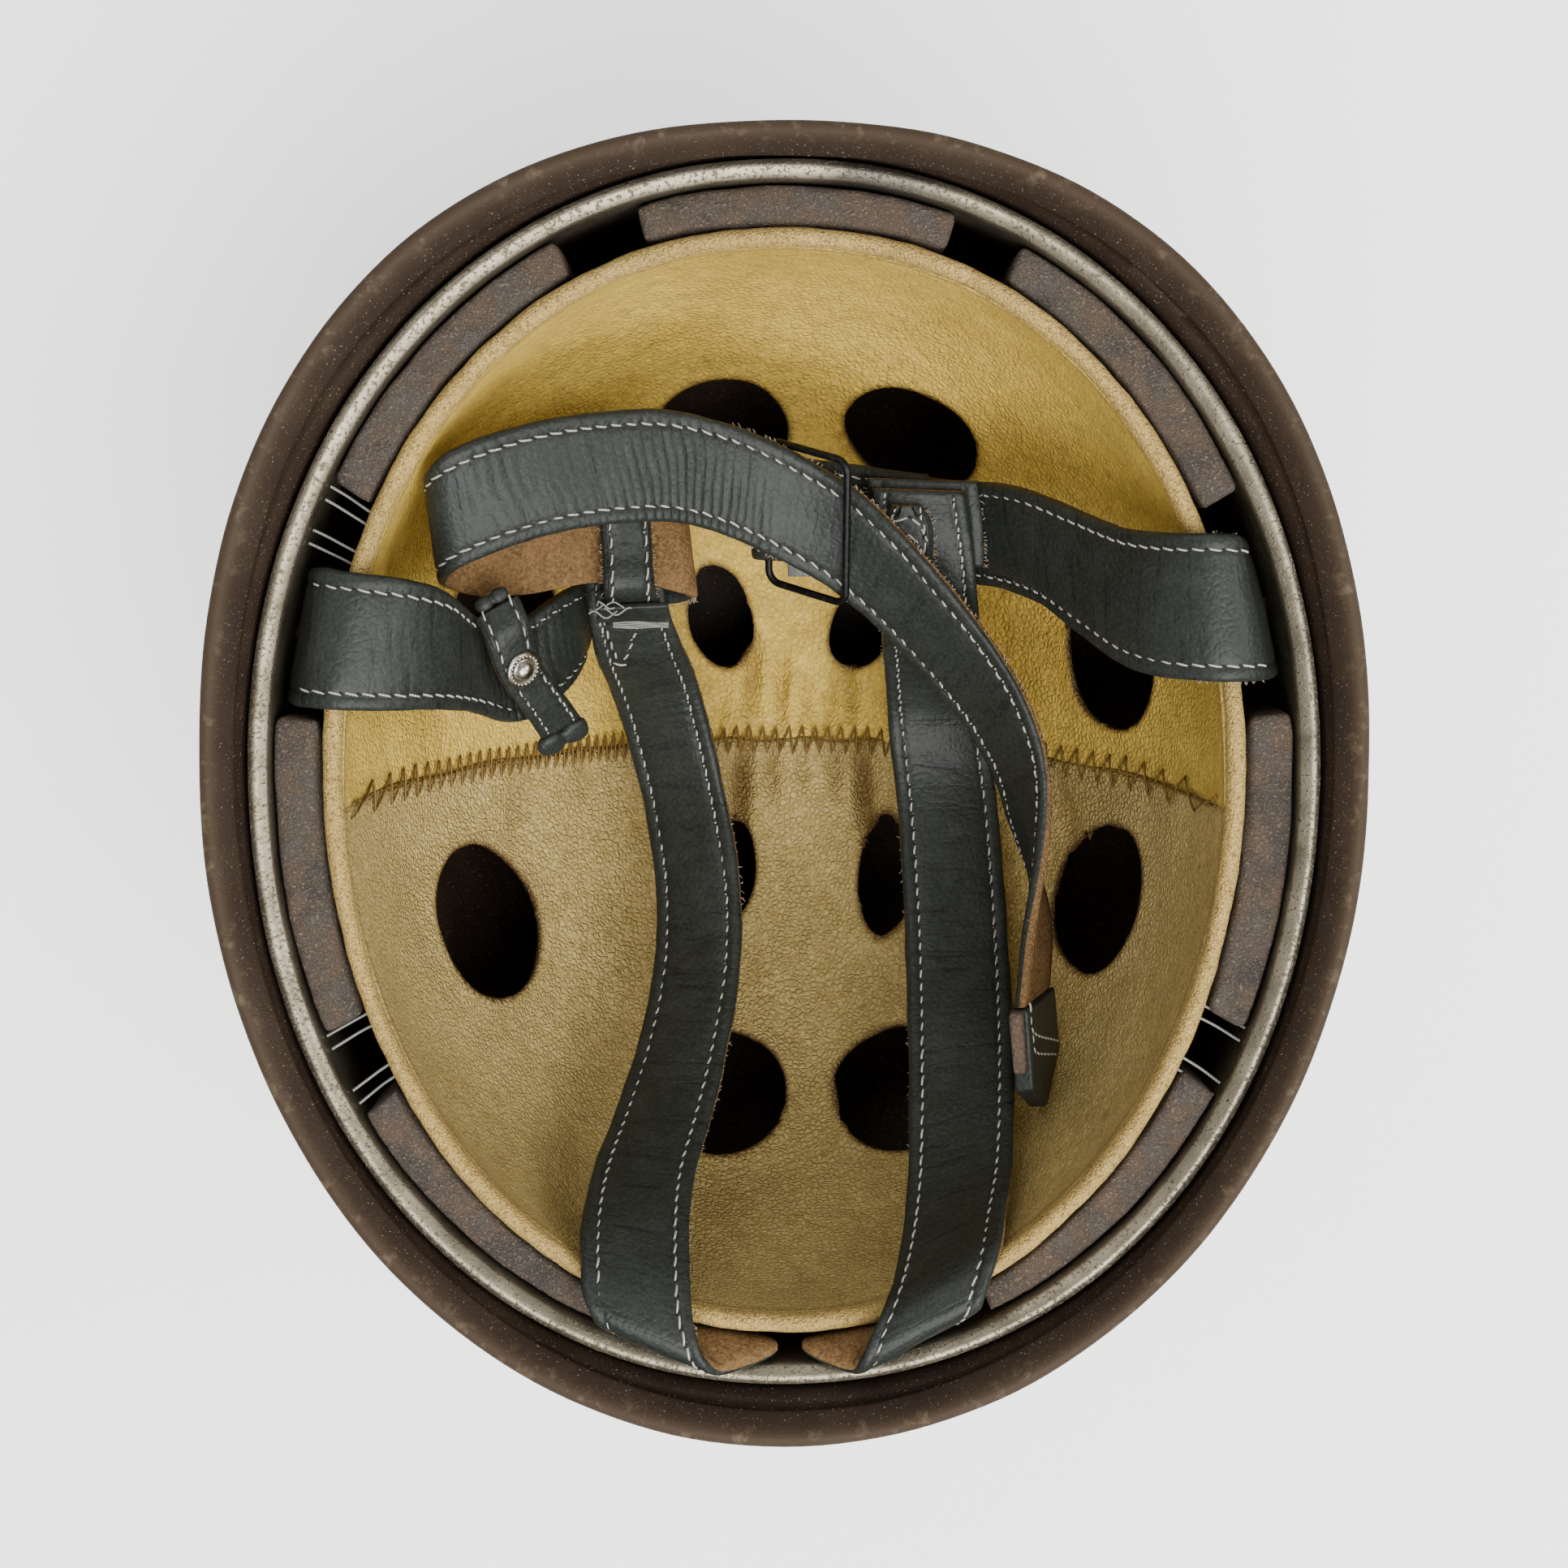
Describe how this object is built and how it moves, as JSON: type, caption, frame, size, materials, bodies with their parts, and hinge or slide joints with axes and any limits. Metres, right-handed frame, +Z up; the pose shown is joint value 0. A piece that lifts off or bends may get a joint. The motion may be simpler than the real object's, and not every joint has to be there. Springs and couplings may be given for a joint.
{
  "type": "paratrooper helmet",
  "caption": "Steel paratrooper helmet lying crown down, with leather liner, padded band and chin straps inside.",
  "frame": {"origin": "middle of the crown's flat, where the helmet rests", "axes": "+Z up to the opening, +Y to the helmet's front, -X is the left side as seen from above the opening"},
  "size_m": [0.2416, 0.2756, 0.162],
  "materials": {
    "shell_paint": "worn matt brown paint",
    "band_metal": "dull, pitted",
    "pad_cloth": "worn brown-grey",
    "liner_leather": "ochre tan, worn",
    "strap_leather": "dark slate grain",
    "raw_leather": "rough raw edge",
    "black_wire": "blackened",
    "stud_chrome": "bright, a little worn"
  },
  "bodies": {
    "root": {"shell": "shell_paint", "liner_band": "band_metal", "liner_bolt_left": "shell_paint", "liner_bolt_right": "shell_paint", "liner_bolt_rear_left": "shell_paint", "liner_bolt_rear_right": "shell_paint", "pad_front": "pad_cloth", "pad_front_left": "pad_cloth", "pad_side_left": "pad_cloth", "pad_rear_left": "pad_cloth", "pad_rear_right": "pad_cloth", "pad_side_right": "pad_cloth", "pad_front_right": "pad_cloth", "liner_front": "liner_leather", "liner_rear": "liner_leather", "side_strap_left": "strap_leather", "side_strap_right": "strap_leather", "rear_strap_left": "strap_leather", "rear_strap_right": "strap_leather", "chin_strap": "strap_leather", "strap_tip": "strap_leather", "tip_bar": "raw_leather", "buckle_strap": "strap_leather", "buckle_frame": "black_wire", "buckle_plate": "black_wire", "junction_backing": "strap_leather", "junction_tongue": "strap_leather", "keeper_tab": "strap_leather", "keeper_band": "strap_leather", "snap_tab": "strap_leather", "snap_fold_upper": "strap_leather", "snap_fold_lower": "strap_leather", "press_stud": "stud_chrome"}
  },
  "joints": []
}
